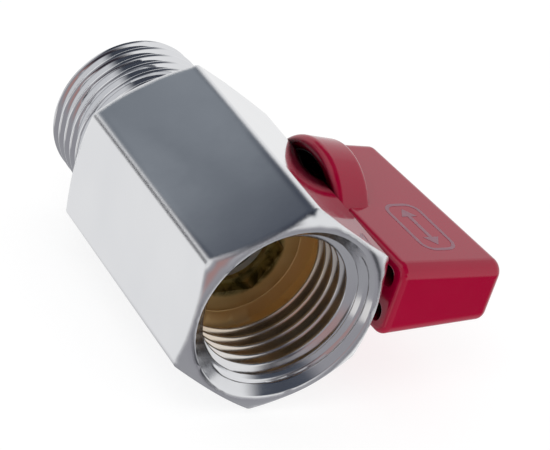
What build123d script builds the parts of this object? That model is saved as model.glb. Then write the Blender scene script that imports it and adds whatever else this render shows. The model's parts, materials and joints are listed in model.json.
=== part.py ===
from build123d import *
from math import cos, radians, sin, sqrt, tan
import os

os.makedirs("parts", exist_ok=True)

# Mini ball valve for gas: a G 1/2 male by G 1/2 female hexagon body with a one-sided lever.
#
# Frame, in millimetres: the origin is the centre of the ball. +X runs along the flow axis to
# the female end, +Y runs out along the stem and through the lever, and +Z lies across both.
# The valve is shown open, so the lever lies along the pipe and points to the female end.
# Sketches on Plane.ZX.offset(y) look along the stem: their local x is Z, their local y is X.
# Outlines that are revolved lie in Plane.XY: about X for pipe-like parts, about Y for the stem.

# ---- driving dimensions: body ----
hex_across_flats = 25.0
hex_edge_radius = 0.7
end_cone_angle = 30.0
female_end_x = 22.5
hex_back_x = -12.0
male_end_x = -24.7

# ---- driving dimensions: G 1/2 pipe thread ----
pipe_major_r = 20.955 / 2
pipe_minor_r = 18.631 / 2
pipe_pitch = 1.814
flank_angle = 27.5
male_groove_x = -22.86
male_grooves = 5
female_groove_x = 12.6
female_grooves = 5
crest_back_x = 11.54

# ---- driving dimensions: flow passage ----
mouth_r = 11.7
relief_bore_r = 10.6
retainer_face_x = 9.5
retainer_thread_r = 9.0
retainer_pitch = 1.0
retainer_groove_x = 5.85
retainer_grooves = 4
chamber_r = 8.4
rear_pocket_x = -7.2
port_r = 5.0
male_flare_r = 7.2

# ---- driving dimensions: ball and seats ----
ball_r = 8.0
ball_clearance = 0.02
port_edge_r = 0.3
seat_outer_r = 7.9
seat_inner_r = 5.2
seat_front_x = 4.2
socket_across_flats = 11.0
socket_depth = 1.6

# ---- driving dimensions: stem ----
shaft_r = 3.5
running_clearance = 0.03
flange_r = 4.6
flange_bottom_y = 8.1
flange_top_y = 8.9
washer_top_y = 9.6
neck_r = 6.0
neck_top_y = 16.0
square_start_y = 16.3
stem_top_y = 22.0
square_side = 4.8
tang_thickness = 2.9
tang_width = 7.4
tang_bottom_y = 5.7
groove_r = 2.3
groove_width = 1.7
lower_groove_y = 11.1
upper_groove_y = 13.6

# ---- driving dimensions: lever ----
rim_front_x = 21.3
rim_front_y = 15.8
rim_back_x = -9.2
rim_back_y = 13.6
outer_front_x = 20.0
outer_front_y = 32.1
outer_back_x = -9.0
outer_back_y = 28.3
rim_half_width = 5.3
outer_half_width = 4.4
lever_corner_r = 1.9
lever_edge_r = 1.3
rim_edge_r = 0.9
hub_bottom_y = 13.3
hub_top_y = 18.8
hub_bottom_r = 9.6
hub_top_r = 8.9
hub_hollow_r = 7.3
hub_edge_r = 0.9
hub_ceiling_y = 16.6
stop_play = 0.2
rib_half_width = 1.1
lever_wall = 1.4
pocket_corner_r = 1.3
pocket_floor_y = 28.2
screw_web_y = 23.6

# ---- driving dimensions: lever screw ----
screw_r = 1.5
screw_length = 8.0
screw_hole_depth = 7.0
head_r = 2.8
head_height = 2.0
lock_washer_r = 3.0
lock_washer_thickness = 0.4
counterbore_r = 3.2

# ---- stop: a lug inside the hub runs in a notch of the neck ----
lug_half_angle = 12.0
stop_play_angle = 0.8
lever_travel = 90.0
notch_floor_y = 13.9
notch_inner_r = 4.7

# ---- play and small edges ----
seat_play = 0.02
retainer_play = 0.03
slot_play = 0.05
socket_play = 0.02
screw_play = 0.15
spot_face_play = 0.1
washer_play = 0.02
lug_play = 0.15
o_ring_side_play = 0.015
o_ring_end_play = 0.05
small_chamfer = 0.3
seam_chamfer = 0.1
hollow_lip_r = 0.8
seat_lip_setback = 0.3
screw_tip_chamfer = 0.4

# ---- how far a cut or a join runs past its face ----
outer_reach = 40.0
overlap = 0.3
groove_over_cut = 0.15
same_place = 0.01


def ring_sector(inner_r, outer_r, start_angle, end_angle):
    """Points of a flat ring sector; angles turn from local x to local y."""
    steps = max(2, int(abs(end_angle - start_angle) / 6))
    turns = [start_angle + (end_angle - start_angle) * i / steps for i in range(steps + 1)]
    outer = [(outer_r * cos(radians(a)), outer_r * sin(radians(a))) for a in turns]
    inner = [(inner_r * cos(radians(a)), inner_r * sin(radians(a))) for a in reversed(turns)]
    return outer + inner


def ring_grooves(first_x, count, crest_r, root_r, pitch):
    """Thread grooves as separate rings about X, each a V with a flat root, cut just past the crest."""
    depth = abs(crest_r - root_r)
    away = (crest_r - root_r) / depth
    flank = tan(radians(flank_angle))
    root_half = (pitch / 2 - depth * flank) / 2
    top = depth + groove_over_cut
    top_half = root_half + top * flank
    with BuildPart() as grooves:
        with BuildSketch(Plane.XY):
            for i in range(count):
                x = first_x + i * pitch
                with BuildLine():
                    Polyline(
                        (x - root_half, root_r),
                        (x - top_half, root_r + away * top),
                        (x + top_half, root_r + away * top),
                        (x + root_half, root_r),
                        close=True,
                    )
                make_face()
        revolve(axis=Axis.X)
    return grooves.part


# ---- body: chromed brass hexagon with a male spigot and a neck for the stem ----
hex_corner_r = hex_across_flats / 2 / cos(radians(30))
flat_y = hex_across_flats / 2
cone_length = (hex_corner_r - flat_y) * tan(radians(end_cone_angle))
relief_r = pipe_minor_r - 0.15
relief_length = 1.3
male_chamfer = pipe_major_r - pipe_minor_r + 0.2
male_chamfer_length = 0.6 * male_chamfer
relief_flank = (relief_bore_r - pipe_minor_r) * tan(radians(flank_angle))
retainer_minor_r = retainer_thread_r - 0.54
retainer_back_x = 4.8
neck_foot_r = 0.6

with BuildPart() as body:
    with BuildSketch(Plane.YZ.offset(hex_back_x)):
        RegularPolygon(flat_y, 6, major_radius=False, rotation=30)
    extrude(amount=female_end_x - hex_back_x)
    fillet(body.edges().filter_by(Axis.X), hex_edge_radius)
    # both ends of the hexagon are turned to a cone that just meets the flats
    with BuildSketch(Plane.XY):
        with BuildLine():
            Polyline(
                (hex_back_x, 0),
                (hex_back_x, flat_y),
                (hex_back_x + cone_length, hex_corner_r),
                (female_end_x - cone_length, hex_corner_r),
                (female_end_x, flat_y),
                (female_end_x, 0),
                close=True,
            )
        make_face()
    revolve(axis=Axis.X, mode=Mode.INTERSECT)
    # neck on the +Y flat
    with BuildSketch(Plane.ZX.offset(flat_y - 1)):
        Circle(neck_r)
    extrude(amount=neck_top_y - flat_y + 1)
    neck_foot = body.edges().filter_by(GeomType.CIRCLE).filter_by(
        lambda e: abs(e.center().Y - flat_y) < same_place and abs(e.radius - neck_r) < same_place
    )
    fillet(neck_foot, neck_foot_r)
    chamfer(body.faces().sort_by(Axis.Y)[-1].edges(), small_chamfer)
    # male spigot
    with BuildSketch(Plane.XY):
        with BuildLine():
            Polyline(
                (hex_back_x + 1, 0),
                (hex_back_x + 1, relief_r),
                (hex_back_x - relief_length, relief_r),
                (hex_back_x - relief_length - (pipe_major_r - relief_r), pipe_major_r),
                (male_end_x + male_chamfer_length, pipe_major_r),
                (male_end_x, pipe_major_r - male_chamfer),
                (male_end_x, 0),
                close=True,
            )
        make_face()
    revolve(axis=Axis.X)
    add(
        ring_grooves(male_groove_x, male_grooves, pipe_major_r, pipe_minor_r, pipe_pitch),
        mode=Mode.SUBTRACT,
    )
    # flow passage, from the female mouth to the male end
    with BuildSketch(Plane.XY):
        with BuildLine():
            Polyline(
                (female_end_x + 1, 0),
                (female_end_x + 1, mouth_r),
                (female_end_x, mouth_r),
                (female_end_x - mouth_r + pipe_minor_r, pipe_minor_r),
                (crest_back_x, pipe_minor_r),
                (crest_back_x - relief_flank, relief_bore_r),
                (retainer_face_x, relief_bore_r),
                (retainer_face_x, retainer_minor_r + seam_chamfer),
                (retainer_face_x - seam_chamfer, retainer_minor_r),
                (retainer_back_x, retainer_minor_r),
                (retainer_back_x, chamber_r),
                (-seat_front_x, chamber_r),
                (-seat_front_x, seat_outer_r + seat_play),
                (rear_pocket_x, seat_outer_r + seat_play),
                (rear_pocket_x, port_r),
                (male_end_x + 2 * (male_flare_r - port_r), port_r),
                (male_end_x, male_flare_r),
                (male_end_x - 1, male_flare_r),
                (male_end_x - 1, 0),
                close=True,
            )
        make_face()
    revolve(axis=Axis.X, mode=Mode.SUBTRACT)
    add(
        ring_grooves(female_groove_x, female_grooves, pipe_minor_r, pipe_major_r, pipe_pitch),
        mode=Mode.SUBTRACT,
    )
    add(
        ring_grooves(
            retainer_groove_x, retainer_grooves, retainer_minor_r, retainer_thread_r, retainer_pitch
        ),
        mode=Mode.SUBTRACT,
    )
    # stem hole, and its spot face inside the chamber
    with BuildSketch(Plane.ZX):
        Circle(shaft_r + running_clearance)
    extrude(amount=outer_reach, mode=Mode.SUBTRACT)
    with BuildSketch(Plane.ZX):
        Circle(flange_r + spot_face_play)
    extrude(amount=washer_top_y, mode=Mode.SUBTRACT)
    # stop notch in the neck, from -X round to -Z
    notch_start = 180 + lug_half_angle + stop_play_angle + 90
    notch_end = notch_start - lever_travel - 2 * (lug_half_angle + stop_play_angle)
    with BuildSketch(Plane.ZX.offset(notch_floor_y)):
        with BuildLine():
            Polyline(*ring_sector(notch_inner_r, neck_r + 1.0, notch_end, notch_start), close=True)
        make_face()
    extrude(amount=neck_top_y, mode=Mode.SUBTRACT)
body.part.label = "body"
export_step(body.part, "parts/body.step")


# ---- seat retainer: a brass ring screwed in behind the front seat ----
thread_depth = retainer_thread_r - retainer_minor_r
ridge_crest = (retainer_pitch / 2 - thread_depth * tan(radians(flank_angle))) / 2 - retainer_play / 2
ridge_foot = ridge_crest + thread_depth * tan(radians(flank_angle))
with BuildPart() as retainer:
    with BuildSketch(Plane.XY):
        with BuildLine():
            Polyline(
                (retainer_back_x, seat_outer_r + seat_play),
                (retainer_back_x, retainer_minor_r - retainer_play),
                (retainer_face_x - seam_chamfer, retainer_minor_r - retainer_play),
                (retainer_face_x, retainer_minor_r - retainer_play - seam_chamfer),
                (retainer_face_x, port_r),
                (-rear_pocket_x, port_r),
                (-rear_pocket_x, seat_outer_r + seat_play),
                close=True,
            )
        make_face()
        for i in range(retainer_grooves):
            ridge_x = retainer_groove_x + i * retainer_pitch
            with BuildLine():
                Polyline(
                    (ridge_x - ridge_foot, retainer_minor_r - overlap),
                    (ridge_x - ridge_foot, retainer_minor_r - retainer_play),
                    (ridge_x - ridge_crest, retainer_thread_r - retainer_play),
                    (ridge_x + ridge_crest, retainer_thread_r - retainer_play),
                    (ridge_x + ridge_foot, retainer_minor_r - retainer_play),
                    (ridge_x + ridge_foot, retainer_minor_r - overlap),
                    close=True,
                )
            make_face()
    revolve(axis=Axis.X)
    with BuildSketch(Plane.YZ.offset(retainer_face_x)):
        RegularPolygon(socket_across_flats / 2, 6, major_radius=False, rotation=5)
    extrude(amount=-socket_depth, mode=Mode.SUBTRACT)
retainer.part.label = "seat_retainer"
export_step(retainer.part, "parts/seat_retainer.step")


# ---- ball seats: two soft rings with a spherical lip ----
def seat(side):
    """One seat ring; side is 1 towards the female end and -1 towards the male end."""
    lip_r = ball_r + ball_clearance
    lip_outer_x = seat_front_x + seat_lip_setback
    lip_outer_r = sqrt(lip_r**2 - lip_outer_x**2)
    lip_inner_x = sqrt(lip_r**2 - seat_inner_r**2)
    middle_turn = (lip_outer_x + lip_inner_x) / 2
    with BuildPart() as ring:
        with BuildSketch(Plane.XY):
            with BuildLine():
                Polyline(
                    (side * lip_inner_x, seat_inner_r),
                    (side * -rear_pocket_x, seat_inner_r),
                    (side * -rear_pocket_x, seat_outer_r),
                    (side * lip_outer_x, seat_outer_r),
                    (side * lip_outer_x, lip_outer_r),
                )
                ThreePointArc(
                    (side * lip_outer_x, lip_outer_r),
                    (side * middle_turn, sqrt(lip_r**2 - middle_turn**2)),
                    (side * lip_inner_x, seat_inner_r),
                )
            make_face()
        revolve(axis=Axis.X)
    return ring.part


front_seat = seat(1)
front_seat.label = "front_seat"
export_step(front_seat, "parts/front_seat.step")

rear_seat = seat(-1)
rear_seat.label = "rear_seat"
export_step(rear_seat, "parts/rear_seat.step")

# ---- ball: bored along X, with a slot across its top for the stem's tang ----
with BuildPart() as ball:
    Sphere(ball_r)
    with BuildSketch(Plane.YZ):
        Circle(port_r)
    extrude(amount=ball_r, both=True, mode=Mode.SUBTRACT)
    fillet(ball.edges().filter_by(GeomType.CIRCLE), port_edge_r)
    with BuildSketch(Plane.ZX.offset(tang_bottom_y - spot_face_play)):
        Rectangle(2 * ball_r, tang_thickness + 2 * slot_play)
    extrude(amount=ball_r, mode=Mode.SUBTRACT)
ball.part.label = "ball"
export_step(ball.part, "parts/ball.step")

# ---- stem: pushed in from the chamber, so its flange cannot blow out ----
with BuildPart() as stem:
    with BuildSketch(Plane.XY):
        with BuildLine():
            Polyline(
                (0, flange_bottom_y),
                (flange_r, flange_bottom_y),
                (flange_r, flange_top_y),
                (shaft_r, flange_top_y),
                (shaft_r, lower_groove_y - groove_width / 2),
                (groove_r, lower_groove_y - groove_width / 2),
                (groove_r, lower_groove_y + groove_width / 2),
                (shaft_r, lower_groove_y + groove_width / 2),
                (shaft_r, upper_groove_y - groove_width / 2),
                (groove_r, upper_groove_y - groove_width / 2),
                (groove_r, upper_groove_y + groove_width / 2),
                (shaft_r, upper_groove_y + groove_width / 2),
                (shaft_r, square_start_y),
                (0, square_start_y),
                close=True,
            )
        make_face()
    revolve(axis=Axis.Y)
    # square end for the lever
    with BuildSketch(Plane.ZX.offset(square_start_y)):
        Rectangle(square_side, square_side)
    extrude(amount=stem_top_y - square_start_y)
    chamfer(stem.faces().sort_by(Axis.Y)[-1].edges(), small_chamfer)
    # tang for the ball's slot
    with BuildSketch(Plane.ZX.offset(tang_bottom_y)):
        Circle(flange_r)
        Rectangle(tang_width, tang_thickness, mode=Mode.INTERSECT)
    extrude(amount=flange_bottom_y - tang_bottom_y)
    # hole for the lever screw
    with BuildSketch(Plane.ZX.offset(stem_top_y)):
        Circle(screw_r + socket_play)
    extrude(amount=-screw_hole_depth, mode=Mode.SUBTRACT)
stem.part.label = "stem"
export_step(stem.part, "parts/stem.step")

# ---- thrust washer between the flange and the body ----
with BuildPart() as thrust_washer:
    with BuildSketch(Plane.ZX.offset(flange_top_y)):
        Circle(flange_r)
        Circle(shaft_r, mode=Mode.SUBTRACT)
    extrude(amount=washer_top_y - flange_top_y - washer_play)
thrust_washer.part.label = "thrust_washer"
export_step(thrust_washer.part, "parts/thrust_washer.step")


# ---- stem seals: O-rings as squeezed in their grooves ----
def stem_o_ring(groove_y):
    """An O-ring flattened between the groove floor and the stem hole."""
    inner_r = groove_r
    outer_r = shaft_r + running_clearance - o_ring_side_play
    with BuildPart() as ring:
        with BuildSketch(Plane.XY):
            with Locations(((inner_r + outer_r) / 2, groove_y)):
                Ellipse((outer_r - inner_r) / 2, groove_width / 2 - o_ring_end_play)
        revolve(axis=Axis.Y)
    return ring.part


lower_o_ring = stem_o_ring(lower_groove_y)
lower_o_ring.label = "lower_stem_o_ring"
export_step(lower_o_ring, "parts/lower_stem_o_ring.step")

upper_o_ring = stem_o_ring(upper_groove_y)
upper_o_ring.label = "upper_stem_o_ring"
export_step(upper_o_ring, "parts/upper_stem_o_ring.step")

# ---- lever: a drafted die casting, hollow towards the body, on a round hub ----
pocket_draft = 2.0
pocket_back_x = 7.0
pocket_outer = rim_half_width - lever_wall
pocket_width = pocket_outer - rib_half_width
pocket_length = rim_front_x - lever_wall - pocket_back_x
with BuildPart() as lever:
    # side outline, then front outline
    with BuildSketch(Plane.XY):
        with BuildLine():
            Polyline(
                (rim_back_x, rim_back_y),
                (rim_front_x, rim_front_y),
                (outer_front_x, outer_front_y),
                (outer_back_x, outer_back_y),
                close=True,
            )
        make_face()
    extrude(amount=rim_half_width, both=True)
    with BuildSketch(Plane.YZ):
        with BuildLine():
            Polyline(
                (rim_back_y, -rim_half_width),
                (rim_back_y, rim_half_width),
                (outer_front_y, outer_half_width),
                (outer_front_y, -outer_half_width),
                close=True,
            )
        make_face()
    extrude(amount=outer_reach, both=True, mode=Mode.INTERSECT)
    corners = lever.edges().filter_by(lambda e: abs(e.tangent_at(0.5).Y) > 0.9)
    fillet(corners, lever_corner_r)
    fillet(lever.faces().sort_by(Axis.Y)[-1].edges(), lever_edge_r)
    fillet(lever.faces().sort_by(Axis.Y)[0].edges(), rim_edge_r)
    # hub
    with BuildSketch(Plane.XY):
        with BuildLine():
            Polyline(
                (0, hub_bottom_y),
                (hub_bottom_r, hub_bottom_y),
                (hub_top_r, hub_top_y),
                (0, hub_top_y),
                close=True,
            )
        hub_outline = make_face()
        fillet(hub_outline.vertices().filter_by(lambda v: v.X > 1), hub_edge_r)
    revolve(axis=Axis.Y)
    # hollow under the hub, round the neck
    with BuildSketch(Plane.ZX.offset(hub_bottom_y)):
        Circle(hub_hollow_r)
    extrude(amount=hub_ceiling_y - hub_bottom_y, mode=Mode.SUBTRACT)
    hollow_lip = lever.edges().filter_by(GeomType.CIRCLE).filter_by(
        lambda e: abs(e.center().Y - hub_bottom_y) < same_place
        and abs(e.radius - hub_hollow_r) < same_place
    )
    fillet(hollow_lip, hollow_lip_r)
    # the two long pockets, either side of the middle rib
    for side in (-1, 1):
        pocket_middle_z = side * (rib_half_width + pocket_width / 2)
        with BuildSketch(Plane.ZX.offset(rim_back_y)):
            with Locations((pocket_middle_z, pocket_back_x + pocket_length / 2)):
                RectangleRounded(pocket_width, pocket_length, pocket_corner_r)
        extrude(amount=pocket_floor_y - rim_back_y, taper=pocket_draft, mode=Mode.SUBTRACT)
    # stop lug, at the back of the hub
    lug_start = 270 - lug_half_angle
    lug_end = 270 + lug_half_angle
    with BuildSketch(Plane.ZX.offset(notch_floor_y + stop_play)):
        with BuildLine():
            Polyline(
                *ring_sector(notch_inner_r + lug_play, hub_hollow_r + overlap, lug_start, lug_end),
                close=True,
            )
        make_face()
    extrude(amount=hub_ceiling_y - notch_floor_y)
    # square socket for the stem, screw hole and counterbore
    with BuildSketch(Plane.ZX.offset(hub_ceiling_y - overlap)):
        Rectangle(square_side + 2 * socket_play, square_side + 2 * socket_play)
    extrude(amount=stem_top_y + spot_face_play - hub_ceiling_y + overlap, mode=Mode.SUBTRACT)
    with BuildSketch(Plane.ZX.offset(stem_top_y)):
        Circle(screw_r + screw_play)
    extrude(amount=screw_web_y - stem_top_y + overlap, mode=Mode.SUBTRACT)
    with BuildSketch(Plane.ZX.offset(screw_web_y)):
        Circle(counterbore_r)
    extrude(amount=outer_reach, mode=Mode.SUBTRACT)
lever.part.label = "lever"
export_step(lever.part, "parts/lever.step")

# ---- toothed lock washer under the screw head ----
teeth = 8
tooth_depth = 1.0
tooth_gap = 0.9
with BuildPart() as lock_washer:
    with BuildSketch(Plane.ZX.offset(screw_web_y)):
        Circle(lock_washer_r)
        Circle(screw_r + screw_play, mode=Mode.SUBTRACT)
        with PolarLocations(lock_washer_r, teeth):
            Rectangle(tooth_depth, tooth_gap, mode=Mode.SUBTRACT)
    extrude(amount=lock_washer_thickness)
lock_washer.part.label = "lock_washer"
export_step(lock_washer.part, "parts/lock_washer.step")

# ---- lever screw: pan head with a cross recess ----
head_y = screw_web_y + lock_washer_thickness
recess_depth = 1.2
recess_length = 3.2
recess_width = 0.8
head_side = 0.9
dome_height = head_height - head_side
dome_r = (head_r**2 + dome_height**2) / (2 * dome_height)
dome_middle_r = head_r / 2
dome_middle_y = head_y + head_height - dome_r + sqrt(dome_r**2 - dome_middle_r**2)
with BuildPart() as lever_screw:
    with BuildSketch(Plane.XY):
        with BuildLine():
            Polyline(
                (0, head_y - screw_length),
                (screw_r - screw_tip_chamfer, head_y - screw_length),
                (screw_r, head_y - screw_length + screw_tip_chamfer),
                (screw_r, head_y),
                (head_r, head_y),
                (head_r, head_y + head_side),
            )
            ThreePointArc(
                (head_r, head_y + head_side),
                (dome_middle_r, dome_middle_y),
                (0, head_y + head_height),
            )
            Line((0, head_y + head_height), (0, head_y - screw_length))
        make_face()
    revolve(axis=Axis.Y)
    with BuildSketch(Plane.ZX.offset(head_y + head_height)):
        Rectangle(recess_length, recess_width)
        Rectangle(recess_width, recess_length)
    extrude(amount=-recess_depth, mode=Mode.SUBTRACT)
lever_screw.part.label = "lever_screw"
export_step(lever_screw.part, "parts/lever_screw.step")
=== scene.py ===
import json
import math

import bmesh
import bpy
from mathutils import Matrix, Vector


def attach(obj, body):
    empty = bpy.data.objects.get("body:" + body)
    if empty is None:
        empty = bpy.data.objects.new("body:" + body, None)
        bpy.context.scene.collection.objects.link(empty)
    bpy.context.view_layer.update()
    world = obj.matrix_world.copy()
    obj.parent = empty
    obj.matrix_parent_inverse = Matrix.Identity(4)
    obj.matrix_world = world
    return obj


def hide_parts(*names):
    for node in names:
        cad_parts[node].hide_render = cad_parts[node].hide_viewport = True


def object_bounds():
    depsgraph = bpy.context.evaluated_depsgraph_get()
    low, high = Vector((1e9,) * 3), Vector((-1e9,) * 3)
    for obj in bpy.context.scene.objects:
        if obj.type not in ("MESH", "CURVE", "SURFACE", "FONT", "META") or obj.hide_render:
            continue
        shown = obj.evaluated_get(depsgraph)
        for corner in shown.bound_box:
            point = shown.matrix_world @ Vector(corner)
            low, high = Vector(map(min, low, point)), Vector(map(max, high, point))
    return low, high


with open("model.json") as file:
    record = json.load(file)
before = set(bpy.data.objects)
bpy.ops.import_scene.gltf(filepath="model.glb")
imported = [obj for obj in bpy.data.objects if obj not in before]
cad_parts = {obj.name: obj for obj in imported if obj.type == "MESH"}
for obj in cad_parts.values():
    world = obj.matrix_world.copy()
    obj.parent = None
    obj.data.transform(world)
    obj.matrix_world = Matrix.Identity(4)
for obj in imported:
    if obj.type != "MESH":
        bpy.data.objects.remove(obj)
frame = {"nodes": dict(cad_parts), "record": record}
cad_low, cad_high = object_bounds()

MM = 0.001
nodes = frame["nodes"]
scene = bpy.context.scene


# ---------------------------------------------------------------- shader helpers
BEVEL_SAMPLES = 6
OPENNESS_SAMPLES = 8


class Graph:
    """A node tree with short calls for the few node kinds that this scene uses."""

    def __init__(self, tree):
        self.tree = tree
        self.tree.nodes.clear()

    def node(self, kind, **settings):
        made = self.tree.nodes.new(kind)
        for key, value in settings.items():
            setattr(made, key, value)
        return made

    def link(self, value, socket):
        """Puts a number, a colour or another node's output into a socket."""
        if isinstance(value, bpy.types.NodeSocket):
            self.tree.links.new(value, socket)
        else:
            socket.default_value = value

    def math(self, operation, *values, clamp=False):
        made = self.node("ShaderNodeMath", operation=operation, use_clamp=clamp)
        for value, socket in zip(values, made.inputs):
            self.link(value, socket)
        return made.outputs[0]

    def ramp(self, value, low, high, out_low=0.0, out_high=1.0):
        """value from low to high becomes out_low to out_high, with smooth ends."""
        made = self.node("ShaderNodeMapRange", interpolation_type="SMOOTHSTEP")
        self.link(value, made.inputs["Value"])
        self.link(low, made.inputs["From Min"])
        self.link(high, made.inputs["From Max"])
        self.link(out_low, made.inputs["To Min"])
        self.link(out_high, made.inputs["To Max"])
        return made.outputs[0]

    def mix(self, factor, first, second):
        made = self.node("ShaderNodeMix", data_type="RGBA")
        self.link(factor, made.inputs["Factor"])
        self.link(first, made.inputs["A"])
        self.link(second, made.inputs["B"])
        return made.outputs["Result"]

    def noise(self, vector, scale, detail=2.0, roughness=0.5, distortion=0.0):
        made = self.node("ShaderNodeTexNoise")
        self.link(vector, made.inputs["Vector"])
        self.link(scale, made.inputs["Scale"])
        self.link(detail, made.inputs["Detail"])
        self.link(roughness, made.inputs["Roughness"])
        self.link(distortion, made.inputs["Distortion"])
        return made.outputs["Fac"]

    def bump(self, height, distance, strength=1.0, normal=None):
        """A normal tilted by a height from 0 to 1, which stands for 0 to distance metres."""
        made = self.node("ShaderNodeBump")
        self.link(height, made.inputs["Height"])
        self.link(distance, made.inputs["Distance"])
        self.link(strength, made.inputs["Strength"])
        if normal is not None:
            self.link(normal, made.inputs["Normal"])
        return made.outputs[0]

    def soft_edges(self, radius):
        """A normal that rolls over sharp edges, as plating and paint do."""
        made = self.node("ShaderNodeBevel", samples=BEVEL_SAMPLES)
        self.link(radius, made.inputs["Radius"])
        return made.outputs[0]

    def openness(self, distance):
        """1 in the open, falling to 0 deep in a pocket."""
        made = self.node("ShaderNodeAmbientOcclusion", samples=OPENNESS_SAMPLES)
        self.link(distance, made.inputs["Distance"])
        return made.outputs["AO"]

    def place(self):
        """The point being shaded, in the CAD frame and in metres."""
        return self.node("ShaderNodeTexCoord").outputs["Object"]

    def split(self, vector):
        """A vector's three coordinates."""
        made = self.node("ShaderNodeSeparateXYZ")
        self.link(vector, made.inputs[0])
        return tuple(made.outputs)

    def all_of(self, first, *others):
        """Where several masks overlap: their product."""
        product = first
        for mask in others:
            product = self.math("MULTIPLY", product, mask)
        return product

    def hypotenuse(self, a, b):
        squares = self.math("ADD", self.math("MULTIPLY", a, a), self.math("MULTIPLY", b, b))
        return self.math("SQRT", squares)


def new_material(name):
    """An empty node material and its graph, with a Principled shader wired to the output."""
    material = bpy.data.materials.new(name)
    material.use_nodes = True
    graph = Graph(material.node_tree)
    shader = graph.node("ShaderNodeBsdfPrincipled")
    output = graph.node("ShaderNodeOutputMaterial")
    graph.link(shader.outputs[0], output.inputs["Surface"])
    return material, graph, shader


def rgb(r, g, b):
    return (r, g, b, 1.0)


# ---------------------------------------------------------------- sizes of the body
# In mm: radii about the flow axis, and places along X. A slope is radius per X. Turns are in
# degrees about X, 0 at +Y and growing towards +Z. Both G 1/2 threads are right-hand, with the
# rounded crests and roots of ISO 228.
PIPE_MAJOR = 20.955 / 2
PIPE_MINOR = 18.631 / 2
PITCH = 1.814
THREAD_DEPTH = PIPE_MAJOR - PIPE_MINOR
ROUND = 0.137 * PITCH
FLANK = math.radians(27.5)
MOUTH_ROOT_EXTRA = 0.12

FEMALE_END = 22.5
MOUTH_R = 11.7
COUNTERSINK_SLOPE = 0.9
UNDERCUT_R = 10.6
UNDERCUT_X = 10.871
RETAINER_FACE_X = 9.5
SOCKET_FLAT_R = 5.9
SOCKET_CORNER_R = 6.6
HEXAGON_BACK_X = -12.0
SHOULDER_RELIEF_X = -13.3
SHOULDER_RELIEF_R = 9.1655
MALE_END = -24.7
MALE_END_R = 9.1155
MALE_CHAMFER_SLOPE = 1 / 0.6
MALE_FLARE_R = 7.2

# where a groove stands, and at which turn
FEMALE_GROOVE_X = 12.7
FEMALE_GROOVE_TURN = 256.0
MALE_GROOVE_X = -22.86
MALE_GROOVE_TURN = 138.0

# the last turn of the female thread runs out through the countersink as a thin score
RUN_OUT_X = 21.1
RUN_OUT_DEPTH = 0.25
RUN_OUT_WIDTH = 0.12
RUN_OUT_START = 228.0
RUN_OUT_END = 405.0
RUN_OUT_FADE = 14.0

# how finely the threads are drawn: points round a turn, mm between rows, and mm left at each rim
THREAD_COLUMNS = 224
THREAD_ROW = 0.075
THREAD_RIM = 0.06
THREAD_SOFTNESS = 0.04
MERGE_WITHIN = 0.001
ZONE_SLACK = 0.01
LOOP_SLACK = 0.02
SHARP_EDGE = math.radians(28)

# where the chrome in the mouth starts to thin, where it is thinnest, and where the bare bore starts
CHROME_THINS_X = 20.5
CHROME_ENDS_X = 13.0
BARE_BORE_X = 11.4
# where the bare brass in the male end starts to be chromed
SPIGOT_BARE_X = -19.0
SPIGOT_CHROME_X = -21.5
# how far the plating rolls over the hexagon's edges, and over all others
HEXAGON_ROLL = 1.0
EDGE_ROLL = 0.12


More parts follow.
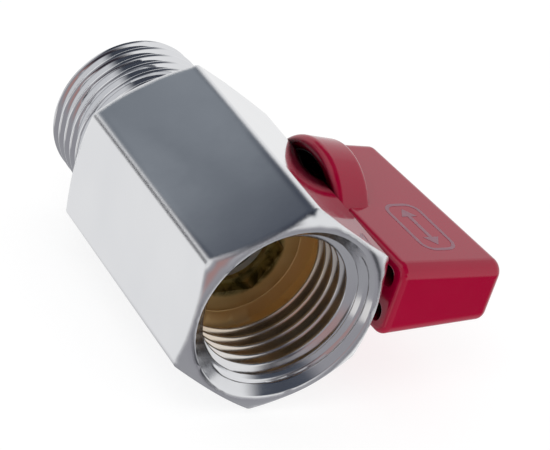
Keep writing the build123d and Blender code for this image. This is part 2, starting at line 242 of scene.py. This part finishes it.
# ---------------------------------------------------------------- materials
def chromed_brass():
    """Mirror chrome outside, thinning to bare brass as the female mouth gets deeper."""
    material, g, shader = new_material("chromed_brass")
    point = g.place()
    x, y, z = g.split(point)
    radius = g.hypotenuse(y, z)
    mouth_wall = g.ramp(radius, (MOUTH_R + 0.2) * MM, (MOUTH_R - 0.4) * MM)
    mouth_depth = g.ramp(x, (RETAINER_FACE_X - 1.5) * MM, RETAINER_FACE_X * MM)
    threads = g.all_of(mouth_wall, mouth_depth)
    warmth = g.all_of(threads, g.ramp(x, CHROME_THINS_X * MM, CHROME_ENDS_X * MM))
    bore = g.all_of(threads, g.ramp(x, (BARE_BORE_X + 0.8) * MM, BARE_BORE_X * MM))
    spigot_wall = g.ramp(radius, (MALE_FLARE_R + 0.4) * MM, MALE_FLARE_R * MM)
    spigot_bore = g.all_of(spigot_wall, g.ramp(x, SPIGOT_CHROME_X * MM, SPIGOT_BARE_X * MM))
    bare = g.math("MAXIMUM", bore, spigot_bore, clamp=True)

    patches = g.noise(point, 260.0, detail=3.0, roughness=0.6)
    chrome_colour = g.mix(g.noise(point, 90.0), rgb(0.70, 0.71, 0.735), rgb(0.78, 0.785, 0.80))
    beige = g.mix(patches, rgb(0.72, 0.61, 0.48), rgb(0.80, 0.71, 0.60))
    amber = g.mix(patches, rgb(0.84, 0.57, 0.24), rgb(0.92, 0.67, 0.33))
    colour = g.mix(bare, g.mix(warmth, chrome_colour, beige), amber)
    g.link(colour, shader.inputs["Base Color"])

    # the bare brass is dull enough to scatter some of the light that falls into the mouth
    scatter = g.math("MAXIMUM", bare, g.math("MULTIPLY", warmth, 0.35))
    g.link(g.ramp(scatter, 0.0, 1.0, 1.0, 0.82), shader.inputs["Metallic"])
    smears = g.noise(point, 220.0, detail=4.0, roughness=0.65)
    polished = g.ramp(smears, 0.35, 0.75, 0.035, 0.085)
    cut = g.ramp(patches, 0.3, 0.7, 0.15, 0.21)
    dull = g.ramp(patches, 0.3, 0.7, 0.45, 0.55)
    rough = g.mix(bare, g.mix(threads, polished, cut), dull)
    g.link(rough, shader.inputs["Roughness"])

    waves = g.noise(point, 130.0, detail=1.0, roughness=0.4)
    pits = g.noise(point, 900.0)
    outside = g.ramp(radius, (MOUTH_R + 0.05) * MM, (MOUTH_R + 0.4) * MM)
    past_relief = g.ramp(x, (HEXAGON_BACK_X - 1.2) * MM, (HEXAGON_BACK_X - 0.8) * MM)
    hexagon = g.all_of(outside, past_relief)
    rolled = g.soft_edges(g.ramp(hexagon, 0.0, 1.0, EDGE_ROLL * MM, HEXAGON_ROLL * MM))
    wavy = g.bump(waves, 0.03 * MM, strength=0.35, normal=rolled)
    g.link(g.bump(pits, 0.002 * MM, strength=0.3, normal=wavy), shader.inputs["Normal"])
    return material


def plain_metal(name, light, dark, rough_low, rough_high):
    """Turned metal: slight tone patches, and fine rings of tool marks about the flow axis."""
    material, g, shader = new_material(name)
    point = g.place()
    tone = g.noise(point, 500.0, detail=3.0, roughness=0.6)
    g.link(g.mix(tone, dark, light), shader.inputs["Base Color"])
    shader.inputs["Metallic"].default_value = 1.0
    g.link(g.ramp(tone, 0.3, 0.7, rough_low, rough_high), shader.inputs["Roughness"])
    rings = g.node("ShaderNodeTexWave", wave_type="RINGS", rings_direction="X")
    g.link(point, rings.inputs["Vector"])
    rings.inputs["Scale"].default_value = 1600.0
    rings.inputs["Distortion"].default_value = 1.5
    g.link(g.bump(rings.outputs["Fac"], 0.004 * MM, strength=0.4), shader.inputs["Normal"])
    return material


def retainer_brass():
    """Machined brass, stained darker and greener inside the hexagon socket and the bore."""
    material, g, shader = new_material("retainer_brass")
    point = g.place()
    radius = g.hypotenuse(*g.split(point)[1:])
    socket = g.ramp(radius, SOCKET_CORNER_R * MM, SOCKET_FLAT_R * MM)
    stains = g.noise(point, 420.0, detail=4.0, roughness=0.65, distortion=0.5)
    face = g.mix(stains, rgb(0.66, 0.46, 0.18), rgb(0.82, 0.60, 0.29))
    stained = g.mix(g.ramp(stains, 0.38, 0.60), rgb(0.14, 0.12, 0.04), rgb(0.46, 0.39, 0.17))
    g.link(g.mix(socket, face, stained), shader.inputs["Base Color"])
    g.link(g.ramp(socket, 0.0, 1.0, 0.85, 1.0), shader.inputs["Metallic"])
    g.link(g.ramp(stains, 0.3, 0.7, 0.40, 0.52), shader.inputs["Roughness"])
    g.link(g.bump(stains, 0.004 * MM, strength=0.3), shader.inputs["Normal"])
    return material


def red_enamel():
    """Glossy crimson enamel with slight orange peel, with painted shade that darkens its colour and gloss
    inside the casting's hollows.
    """
    material, g, shader = new_material("red_enamel")
    point = g.place()
    tone = g.noise(point, 120.0, detail=3.0, roughness=0.6)
    # painted shade: the enamel's colour fades to black, and its gloss to nothing, where the openness falls
    # deep in the hollows
    painted_shade_factor = g.ramp(g.openness(4.0 * MM), 0.25, 0.75, 0.03, 1.0)
    paint = g.mix(tone, rgb(0.37, 0.000, 0.030), rgb(0.42, 0.001, 0.037))
    g.link(g.mix(painted_shade_factor, rgb(0.0, 0.0, 0.0), paint), shader.inputs["Base Color"])
    gloss = g.noise(point, 300.0, detail=3.0)
    g.link(g.ramp(gloss, 0.3, 0.7, 0.06, 0.11), shader.inputs["Roughness"])
    g.link(g.math("MULTIPLY", painted_shade_factor, 0.5), shader.inputs["Specular IOR Level"])
    shader.inputs["IOR"].default_value = 1.5
    peel = g.noise(point, 700.0)
    rolled = g.soft_edges(0.2 * MM)
    g.link(g.bump(peel, 0.006 * MM, strength=0.25, normal=rolled), shader.inputs["Normal"])
    return material


def marking_ink():
    """Thin greyish pad print on the enamel, slightly patchy."""
    material, g, shader = new_material("marking_ink")
    patches = g.noise(g.place(), 1200.0, detail=3.0, roughness=0.6)
    g.link(g.mix(patches, rgb(0.30, 0.10, 0.15), rgb(0.36, 0.15, 0.20)), shader.inputs["Base Color"])
    shader.inputs["Roughness"].default_value = 0.35
    g.link(g.bump(patches, 0.003 * MM, strength=0.3), shader.inputs["Normal"])
    return material


def seat_plastic():
    """White low-friction plastic, slightly waxy."""
    material, g, shader = new_material("seat_plastic")
    point = g.place()
    tone = g.noise(point, 300.0, detail=3.0)
    g.link(g.mix(tone, rgb(0.74, 0.73, 0.68), rgb(0.83, 0.82, 0.78)), shader.inputs["Base Color"])
    shader.inputs["Roughness"].default_value = 0.45
    shader.inputs["Subsurface Weight"].default_value = 0.1
    g.link(g.bump(g.noise(point, 1500.0), 0.004 * MM, strength=0.4), shader.inputs["Normal"])
    return material


def seal_rubber():
    """Black moulded rubber."""
    material, g, shader = new_material("seal_rubber")
    point = g.place()
    tone = g.noise(point, 400.0, detail=3.0)
    black = g.mix(tone, rgb(0.010, 0.010, 0.011), rgb(0.022, 0.022, 0.023))
    g.link(black, shader.inputs["Base Color"])
    shader.inputs["Roughness"].default_value = 0.55
    g.link(g.bump(g.noise(point, 2500.0), 0.006 * MM, strength=0.5), shader.inputs["Normal"])
    return material


chrome = chromed_brass()
ink = marking_ink()
retainer_metal = retainer_brass()
material_of_slot = {
    "chromed_brass": chrome,
    "bare_brass": plain_metal("bare_brass", rgb(0.52, 0.40, 0.17), rgb(0.40, 0.30, 0.11), 0.34, 0.46),
    "polished_ball": plain_metal("polished_ball", rgb(0.56, 0.54, 0.47), rgb(0.46, 0.44, 0.36), 0.08, 0.16),
    "zinc_steel": plain_metal("zinc_steel", rgb(0.66, 0.67, 0.70), rgb(0.52, 0.53, 0.56), 0.25, 0.4),
    "red_enamel": red_enamel(),
    "seat_plastic": seat_plastic(),
    "seal_rubber": seal_rubber(),
}
slot_of_node = {row["node"]: row["material_slot"] for row in frame["record"]["subparts"]}
for name, node in nodes.items():
    if not node.material_slots:
        node.data.materials.append(None)
    for slot in node.material_slots:
        slot.material = material_of_slot[slot_of_node[name]]
# the retainer is bare brass too, with its own stains
for slot in nodes["seat_retainer"].material_slots:
    slot.material = retainer_metal


# ---------------------------------------------------------------- body with helical threads
def groove_depth(along, depth):
    """How deep the groove is at a distance along X from its middle; 0 on the crests."""
    along = abs((along + PITCH / 2) % PITCH - PITCH / 2)
    rise = 1 / math.tan(FLANK)
    bend = ROUND * math.cos(FLANK)
    sag = ROUND * (1 - math.sin(FLANK))
    half = PITCH / 2
    if along < bend:
        fall = ROUND - math.sqrt(ROUND**2 - along**2)
    elif along < half - bend:
        fall = sag + (along - bend) * rise
    else:
        rest = half - along
        fall = 2 * sag + (half - 2 * bend) * rise - ROUND + math.sqrt(ROUND**2 - rest**2)
    full = 2 * sag + (half - 2 * bend) * rise
    return depth * (1 - fall / full)


def soft_max(a, b):
    """The larger of two radii, rounded where they cross."""
    return (a + b + math.sqrt((a - b) ** 2 + THREAD_SOFTNESS**2)) / 2


def run_out_score(x, turn):
    """Depth of the score that the thread's last turn leaves in the countersink."""
    # the score runs on past +Y, where turns start again from 0
    along_turn = turn if turn > 180 else turn + 360
    start = min(max((along_turn - RUN_OUT_START) / RUN_OUT_FADE, 0), 1)
    end = min(max((RUN_OUT_END - along_turn) / RUN_OUT_FADE, 0), 1)
    middle_x = RUN_OUT_X + PITCH * (along_turn - FEMALE_GROOVE_TURN) / 360
    return RUN_OUT_DEPTH * start * end * math.exp(-(((x - middle_x) / RUN_OUT_WIDTH) ** 2))


def female_radius(x, turn):
    """Radius of the mouth's wall: undercut, thread and countersink, whichever is widest."""
    groove_x = FEMALE_GROOVE_X + PITCH * (turn - FEMALE_GROOVE_TURN) / 360
    thread = PIPE_MINOR + groove_depth(x - groove_x, THREAD_DEPTH + MOUTH_ROOT_EXTRA)
    countersink = MOUTH_R - COUNTERSINK_SLOPE * (FEMALE_END - x)
    undercut = UNDERCUT_R - (x - UNDERCUT_X) / math.tan(FLANK)
    return soft_max(soft_max(thread, countersink), undercut) + run_out_score(x, turn)


def male_radius(x, turn):
    """Radius of the spigot: end chamfer, thread and shoulder relief, whichever is narrowest."""
    groove_x = MALE_GROOVE_X + PITCH * (turn - MALE_GROOVE_TURN) / 360
    thread = PIPE_MAJOR - groove_depth(x - groove_x, THREAD_DEPTH)
    lead = MALE_END_R + (x - MALE_END) * MALE_CHAMFER_SLOPE
    shoulder = SHOULDER_RELIEF_R + SHOULDER_RELIEF_X - x
    return -soft_max(soft_max(-thread, -lead), -shoulder)


def turn_of(vert):
    """The vertex's turn about X in degrees, 0 to 360."""
    return math.degrees(math.atan2(vert.co.z, vert.co.y)) % 360


def boundary_loop(mesh, x, radius):
    """The open edge loop that stands at this X and radius, as vertices in order of their turn."""
    close = LOOP_SLACK * MM
    found = set()
    for edge in mesh.edges:
        if edge.is_boundary:
            for vert in edge.verts:
                off_r = abs(math.hypot(vert.co.y, vert.co.z) - radius * MM)
                if abs(vert.co.x - x * MM) < close and off_r < close:
                    found.add(vert)
    return sorted(found, key=turn_of)


def zip_loops(mesh, first, second):
    """Fills the band between two closed loops, both in order of their turn, with triangles."""
    past_all = math.inf
    i = j = 0
    while i < len(first) or j < len(second):
        next_first = turn_of(first[i]) if i < len(first) else past_all
        next_second = turn_of(second[j]) if j < len(second) else past_all
        if next_first <= next_second:
            mesh.faces.new((first[i - 1], first[i], second[j - 1]))
            i += 1
        else:
            mesh.faces.new((first[i - 1], second[j], second[j - 1]))
            j += 1


def thread_surface(mesh, start_x, end_x, radius_at, start_loop, end_loop):
    """A closed band of quads from one loop to the other, shaped by radius_at(x, turn)."""
    rows = round(abs(end_x - start_x) / THREAD_ROW)
    grid = []
    for row in range(rows + 1):
        x = start_x + (end_x - start_x) * row / rows
        ring = []
        for column in range(THREAD_COLUMNS):
            turn = 360 * (column + 0.5) / THREAD_COLUMNS
            radius = radius_at(x, turn) * MM
            angle = math.radians(turn)
            ring.append(mesh.verts.new((x * MM, radius * math.cos(angle), radius * math.sin(angle))))
        grid.append(ring)
    for lower, upper in zip(grid, grid[1:]):
        for column in range(THREAD_COLUMNS):
            beside = column - 1
            mesh.faces.new((lower[beside], lower[column], upper[column], upper[beside]))
    zip_loops(mesh, start_loop, grid[0])
    zip_loops(mesh, grid[-1], end_loop)


def helical_body():
    """The CAD body with its two pipe threads recut as true helices."""
    mesh = bmesh.new()
    mesh.from_mesh(nodes["body"].data)
    bmesh.ops.remove_doubles(mesh, verts=mesh.verts, dist=MERGE_WITHIN * MM)
    slack = ZONE_SLACK * MM

    def in_female_zone(vert):
        radius = math.hypot(vert.co.y, vert.co.z)
        return vert.co.x > UNDERCUT_X * MM - slack and radius < MOUTH_R * MM + slack

    def in_male_zone(vert):
        radius = math.hypot(vert.co.y, vert.co.z)
        return vert.co.x < SHOULDER_RELIEF_X * MM + slack and radius > MALE_END_R * MM - slack

    doomed = []
    for face in mesh.faces:
        if all(in_female_zone(v) for v in face.verts) or all(in_male_zone(v) for v in face.verts):
            doomed.append(face)
    bmesh.ops.delete(mesh, geom=doomed, context="FACES")

    undercut_loop = boundary_loop(mesh, UNDERCUT_X, UNDERCUT_R)
    mouth_loop = boundary_loop(mesh, FEMALE_END, MOUTH_R)
    female_ends = (UNDERCUT_X + THREAD_RIM, FEMALE_END - THREAD_RIM)
    thread_surface(mesh, *female_ends, female_radius, undercut_loop, mouth_loop)
    end_loop = boundary_loop(mesh, MALE_END, MALE_END_R)
    shoulder_loop = boundary_loop(mesh, SHOULDER_RELIEF_X, SHOULDER_RELIEF_R)
    male_ends = (MALE_END + THREAD_RIM, SHOULDER_RELIEF_X - THREAD_RIM)
    thread_surface(mesh, *male_ends, male_radius, end_loop, shoulder_loop)

    bmesh.ops.recalc_face_normals(mesh, faces=mesh.faces)
    shape = bpy.data.meshes.new("body_with_threads")
    mesh.to_mesh(shape)
    mesh.free()
    shape.shade_smooth()
    shape.set_sharp_from_angle(angle=SHARP_EDGE)
    shape.materials.clear()
    shape.materials.append(chrome)
    piece = bpy.data.objects.new("body_with_threads", shape)
    scene.collection.objects.link(piece)
    # large flats keep their own normals, so that the narrow rounded edges shade evenly
    weighted = piece.modifiers.new("flat_faces_first", "WEIGHTED_NORMAL")
    weighted.mode = "FACE_AREA"
    weighted.weight = 100
    weighted.keep_sharp = True
    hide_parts("body")
    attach(piece, "housing")


helical_body()


# ---------------------------------------------------------------- printed mark on the lever
# A plain sign for "turns both ways", a double arrow in a frame, on the lever's +Z side. In mm.
# The side slopes from its foot, by the body, to its top at the outer face.
SIDE_FOOT_Y = 13.6
SIDE_FOOT_Z = 5.3
SIDE_TOP_Y = 32.1
SIDE_TOP_Z = 4.4
MARK_CENTRE_X = 11.6
MARK_CENTRE_Y = 23.7
MARK_TILT = math.radians(6)
MARK_LENGTH = 10.4
MARK_WIDTH = 5.6
MARK_CORNER = 1.9
MARK_LINE = 0.5
MARK_THICKNESS = 0.03
MARK_SINK = 0.02
ARROW_REACH = 4.0
ARROW_HEAD = 1.7
ARROW_HALF_HEAD = 1.25
ARROW_HALF_SHAFT = 0.3
CORNER_STEPS = 8


def on_lever_side(u, v, lift):
    """A point u along and v across the mark, lifted off the lever's drafted +Z side, in metres."""
    x = MARK_CENTRE_X + u * math.cos(MARK_TILT) - v * math.sin(MARK_TILT)
    y = MARK_CENTRE_Y + u * math.sin(MARK_TILT) + v * math.cos(MARK_TILT)
    z = SIDE_FOOT_Z + (SIDE_TOP_Z - SIDE_FOOT_Z) * (y - SIDE_FOOT_Y) / (SIDE_TOP_Y - SIDE_FOOT_Y)
    return Vector((x, y, z + lift)) * MM


def rounded_rectangle(length, width, corner):
    """Points of a rounded rectangle about the mark's middle."""
    points = []
    for side_u, side_v, start in ((1, 1, 0), (-1, 1, 90), (-1, -1, 180), (1, -1, 270)):
        for step in range(CORNER_STEPS + 1):
            angle = math.radians(start + 90 * step / CORNER_STEPS)
            u = side_u * (length / 2 - corner) + corner * math.cos(angle)
            v = side_v * (width / 2 - corner) + corner * math.sin(angle)
            points.append((u, v))
    return points


def printed_loop(mesh, outline):
    """The outline's vertices, sunk in the enamel and standing on it."""
    sunk = [mesh.verts.new(on_lever_side(u, v, -MARK_SINK)) for u, v in outline]
    raised = [mesh.verts.new(on_lever_side(u, v, MARK_THICKNESS)) for u, v in outline]
    return sunk, raised


def wall(mesh, lower, upper):
    """A closed strip of faces between two loops of the same length."""
    for i in range(len(lower)):
        mesh.faces.new((lower[i - 1], lower[i], upper[i], upper[i - 1]))


def printed_frame(mesh):
    """A rounded frame, as a closed thin solid."""
    outer = rounded_rectangle(MARK_LENGTH, MARK_WIDTH, MARK_CORNER)
    inner_size = (MARK_LENGTH - 2 * MARK_LINE, MARK_WIDTH - 2 * MARK_LINE)
    inner = rounded_rectangle(*inner_size, MARK_CORNER - MARK_LINE)
    outer_sunk, outer_raised = printed_loop(mesh, outer)
    inner_sunk, inner_raised = printed_loop(mesh, inner)
    wall(mesh, outer_sunk, outer_raised)
    wall(mesh, inner_sunk, inner_raised)
    wall(mesh, outer_raised, inner_raised)
    wall(mesh, outer_sunk, inner_sunk)


def printed_arrow(mesh):
    """A double-headed arrow, as a closed thin solid."""
    neck = ARROW_REACH - ARROW_HEAD
    half = [(ARROW_REACH, 0), (neck, ARROW_HALF_HEAD), (neck, ARROW_HALF_SHAFT)]
    upper = half + [(-u, v) for u, v in reversed(half)]
    lower = [(u, -v) for u, v in reversed(upper[1:-1])]
    sunk, raised = printed_loop(mesh, upper + lower)
    wall(mesh, sunk, raised)
    mesh.faces.new(raised)
    mesh.faces.new(sunk)


def printed_mark():
    """The frame and the arrow as one piece, which turns with the lever."""
    mesh = bmesh.new()
    printed_frame(mesh)
    printed_arrow(mesh)
    bmesh.ops.recalc_face_normals(mesh, faces=mesh.faces)
    shape = bpy.data.meshes.new("turning_mark")
    mesh.to_mesh(shape)
    mesh.free()
    shape.materials.append(ink)
    piece = bpy.data.objects.new("turning_mark", shape)
    scene.collection.objects.link(piece)
    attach(piece, "lever_assembly")


printed_mark()


# ---------------------------------------------------------------- floor
FLOOR_SIZE_M = 3.0


def floor_material():
    """Matt white. Most of it is the floor's own glow, so that shadows stay faint."""
    material, g, shader = new_material("pale_floor")
    grain = g.mix(g.noise(g.place(), 14.0), rgb(0.34, 0.34, 0.34), rgb(0.36, 0.36, 0.36))
    g.link(grain, shader.inputs["Base Color"])
    shader.inputs["Roughness"].default_value = 0.8
    shader.inputs["Specular IOR Level"].default_value = 0.0
    shader.inputs["Emission Color"].default_value = rgb(1.0, 1.0, 1.0)
    shader.inputs["Emission Strength"].default_value = 0.78
    return material


def pale_floor():
    """A square floor under the valve, which its chrome doesn't mirror."""
    half = FLOOR_SIZE_M / 2
    corners = [(-half, -half, 0), (half, -half, 0), (half, half, 0), (-half, half, 0)]
    shape = bpy.data.meshes.new("floor")
    shape.from_pydata(corners, [], [(0, 1, 2, 3)])
    shape.materials.append(floor_material())
    floor = bpy.data.objects.new("floor", shape)
    scene.collection.objects.link(floor)
    floor.location = (0, 0, cad_low.z)
    floor.visible_glossy = False


pale_floor()


# ---------------------------------------------------------------- studio
LAMP_DIRECTION = Vector((0.50, -0.68, -0.48)).normalized()


def mirrored_tent(g, direction, x, y, z):
    """What the metal mirrors: a white tent with a grey roof and darker sides near the camera.

    x, y and z are the parts of the mirrored ray's direction, each from -1 to 1.
    """
    white = rgb(0.94, 0.94, 0.94)
    tent = g.mix(g.ramp(x, -0.25, 0.50), white, rgb(0.34, 0.335, 0.36))
    tent = g.mix(g.ramp(z, -0.60, -0.80), tent, rgb(0.36, 0.36, 0.38))
    far_right = g.all_of(g.ramp(x, 0.30, 0.50), g.ramp(y, 0.56, 0.66))
    tent = g.mix(far_right, tent, rgb(0.08, 0.08, 0.09))
    far_wall = g.all_of(g.ramp(z, -0.28, -0.05), g.ramp(y, -0.05, 0.35))
    tent = g.mix(far_wall, tent, white)

    # a dark seam in the near left wall, a black cloth at the near right and a rosy patch below it
    seam_height = g.all_of(g.ramp(z, -0.20, -0.05), g.ramp(z, 0.42, 0.30))
    seam = g.all_of(seam_height, g.ramp(y, -0.50, -0.62), g.ramp(x, -0.40, -0.55))
    tent = g.mix(seam, tent, rgb(0.06, 0.06, 0.07))
    black_cloth = g.all_of(g.ramp(x, 0.85, 0.93), g.ramp(z, 0.04, 0.20))
    tent = g.mix(black_cloth, tent, rgb(0.035, 0.030, 0.040))
    rosy = g.all_of(g.ramp(x, 0.84, 0.93), g.ramp(z, 0.30, 0.12), g.ramp(y, 0.02, -0.20))
    tent = g.mix(rosy, tent, rgb(0.42, 0.26, 0.25))

    # the cloudy grey roof reaches further over the right side than over the left
    fine_clouds = g.noise(direction, 9.0, detail=3.0, roughness=0.55, distortion=0.8)
    clouds = g.math("ADD", fine_clouds, g.noise(direction, 3.0, detail=1.0))
    roof_grey = g.mix(g.ramp(clouds, 0.80, 1.20), rgb(0.105, 0.120, 0.145), rgb(0.285, 0.312, 0.345))
    roof_grey = g.mix(g.ramp(x, -0.745, -0.690), roof_grey, rgb(0.075, 0.085, 0.110))
    reach = g.math("SUBTRACT", y, g.ramp(x, -0.66, -0.38, 0.0, 0.42))
    roof = g.all_of(g.ramp(z, 0.42, 0.60), g.ramp(reach, 0.35, 0.02), g.ramp(y, -0.52, -0.22))
    tent = g.mix(roof, tent, roof_grey)
    gap = g.all_of(g.ramp(z, 0.78, 0.93), g.ramp(y, 0.45, 0.15), g.ramp(x, 0.04, 0.16))
    tent = g.mix(gap, tent, rgb(0.012, 0.012, 0.015))

    # a small pale lamp low on the near side, for the thin lights along the edges
    nearness = g.node("ShaderNodeVectorMath", operation="DOT_PRODUCT")
    g.link(direction, nearness.inputs[0])
    nearness.inputs[1].default_value = LAMP_DIRECTION
    lamp = g.ramp(nearness.outputs["Value"], 0.975, 0.988)
    return g.mix(lamp, tent, rgb(0.85, 0.83, 0.81))


def studio_world():
    """The camera sees plain white, matt surfaces get even light, and metal mirrors a light tent."""
    world = bpy.data.worlds.new("light_tent")
    scene.world = world
    world.use_nodes = True
    world.cycles.sampling_method = "NONE"
    g = Graph(world.node_tree)
    direction = g.node("ShaderNodeTexCoord").outputs["Generated"]
    x, y, z = g.split(direction)
    tent = mirrored_tent(g, direction, x, y, z)
    even = g.mix(g.ramp(z, -0.20, 0.50), rgb(0.90, 0.90, 0.90), rgb(0.62, 0.62, 0.62))
    path = g.node("ShaderNodeLightPath")
    colour = g.mix(path.outputs["Is Glossy Ray"], even, tent)
    colour = g.mix(path.outputs["Is Camera Ray"], colour, rgb(1.0, 1.0, 1.0))
    background = g.node("ShaderNodeBackground")
    g.link(colour, background.inputs["Color"])
    output = g.node("ShaderNodeOutputWorld")
    g.link(background.outputs[0], output.inputs["Surface"])


def key_light():
    """A weak round lamp over the near left, which the metal doesn't mirror."""
    back = Vector((0.35, -0.55, 0.9)).normalized()
    distance = 0.6
    light = bpy.data.lights.new("key", "AREA")
    light.shape = "DISK"
    light.size = 0.35
    light.energy = 0.45
    holder = bpy.data.objects.new("key", light)
    scene.collection.objects.link(holder)
    holder.location = back * distance
    holder.rotation_mode = "QUATERNION"
    holder.rotation_quaternion = (-back).to_track_quat("-Z", "Y")
    holder.visible_glossy = False


studio_world()
key_light()


# ---------------------------------------------------------------- camera
def photograph_camera():
    """The camera at the photograph's viewing angle, given round the middle of the valve."""
    azimuth = math.radians(53.33)
    elevation = math.radians(28.41)
    roll = math.radians(18.45)
    distance = 0.2885
    aim = Vector((6.3, 6.3, 1.9)) * MM
    right = Vector((math.cos(azimuth), math.sin(azimuth), 0))
    level_back = Vector((math.sin(azimuth), -math.cos(azimuth), 0))
    back = level_back * math.cos(elevation) + Vector((0, 0, math.sin(elevation)))
    up = back.cross(right)
    rolled_right = right * math.cos(roll) + up * math.sin(roll)
    rolled_up = up * math.cos(roll) - right * math.sin(roll)
    data = bpy.data.cameras.new("camera")
    data.lens = 154.3
    data.sensor_width = 36.0
    data.clip_start = 0.01
    camera = bpy.data.objects.new("camera", data)
    scene.collection.objects.link(camera)
    turn = Matrix((rolled_right, rolled_up, back)).transposed().to_4x4()
    camera.matrix_world = Matrix.Translation(aim + back * distance) @ turn
    scene.camera = camera


photograph_camera()
scene.view_settings.view_transform = "Standard"
scene.view_settings.look = "None"
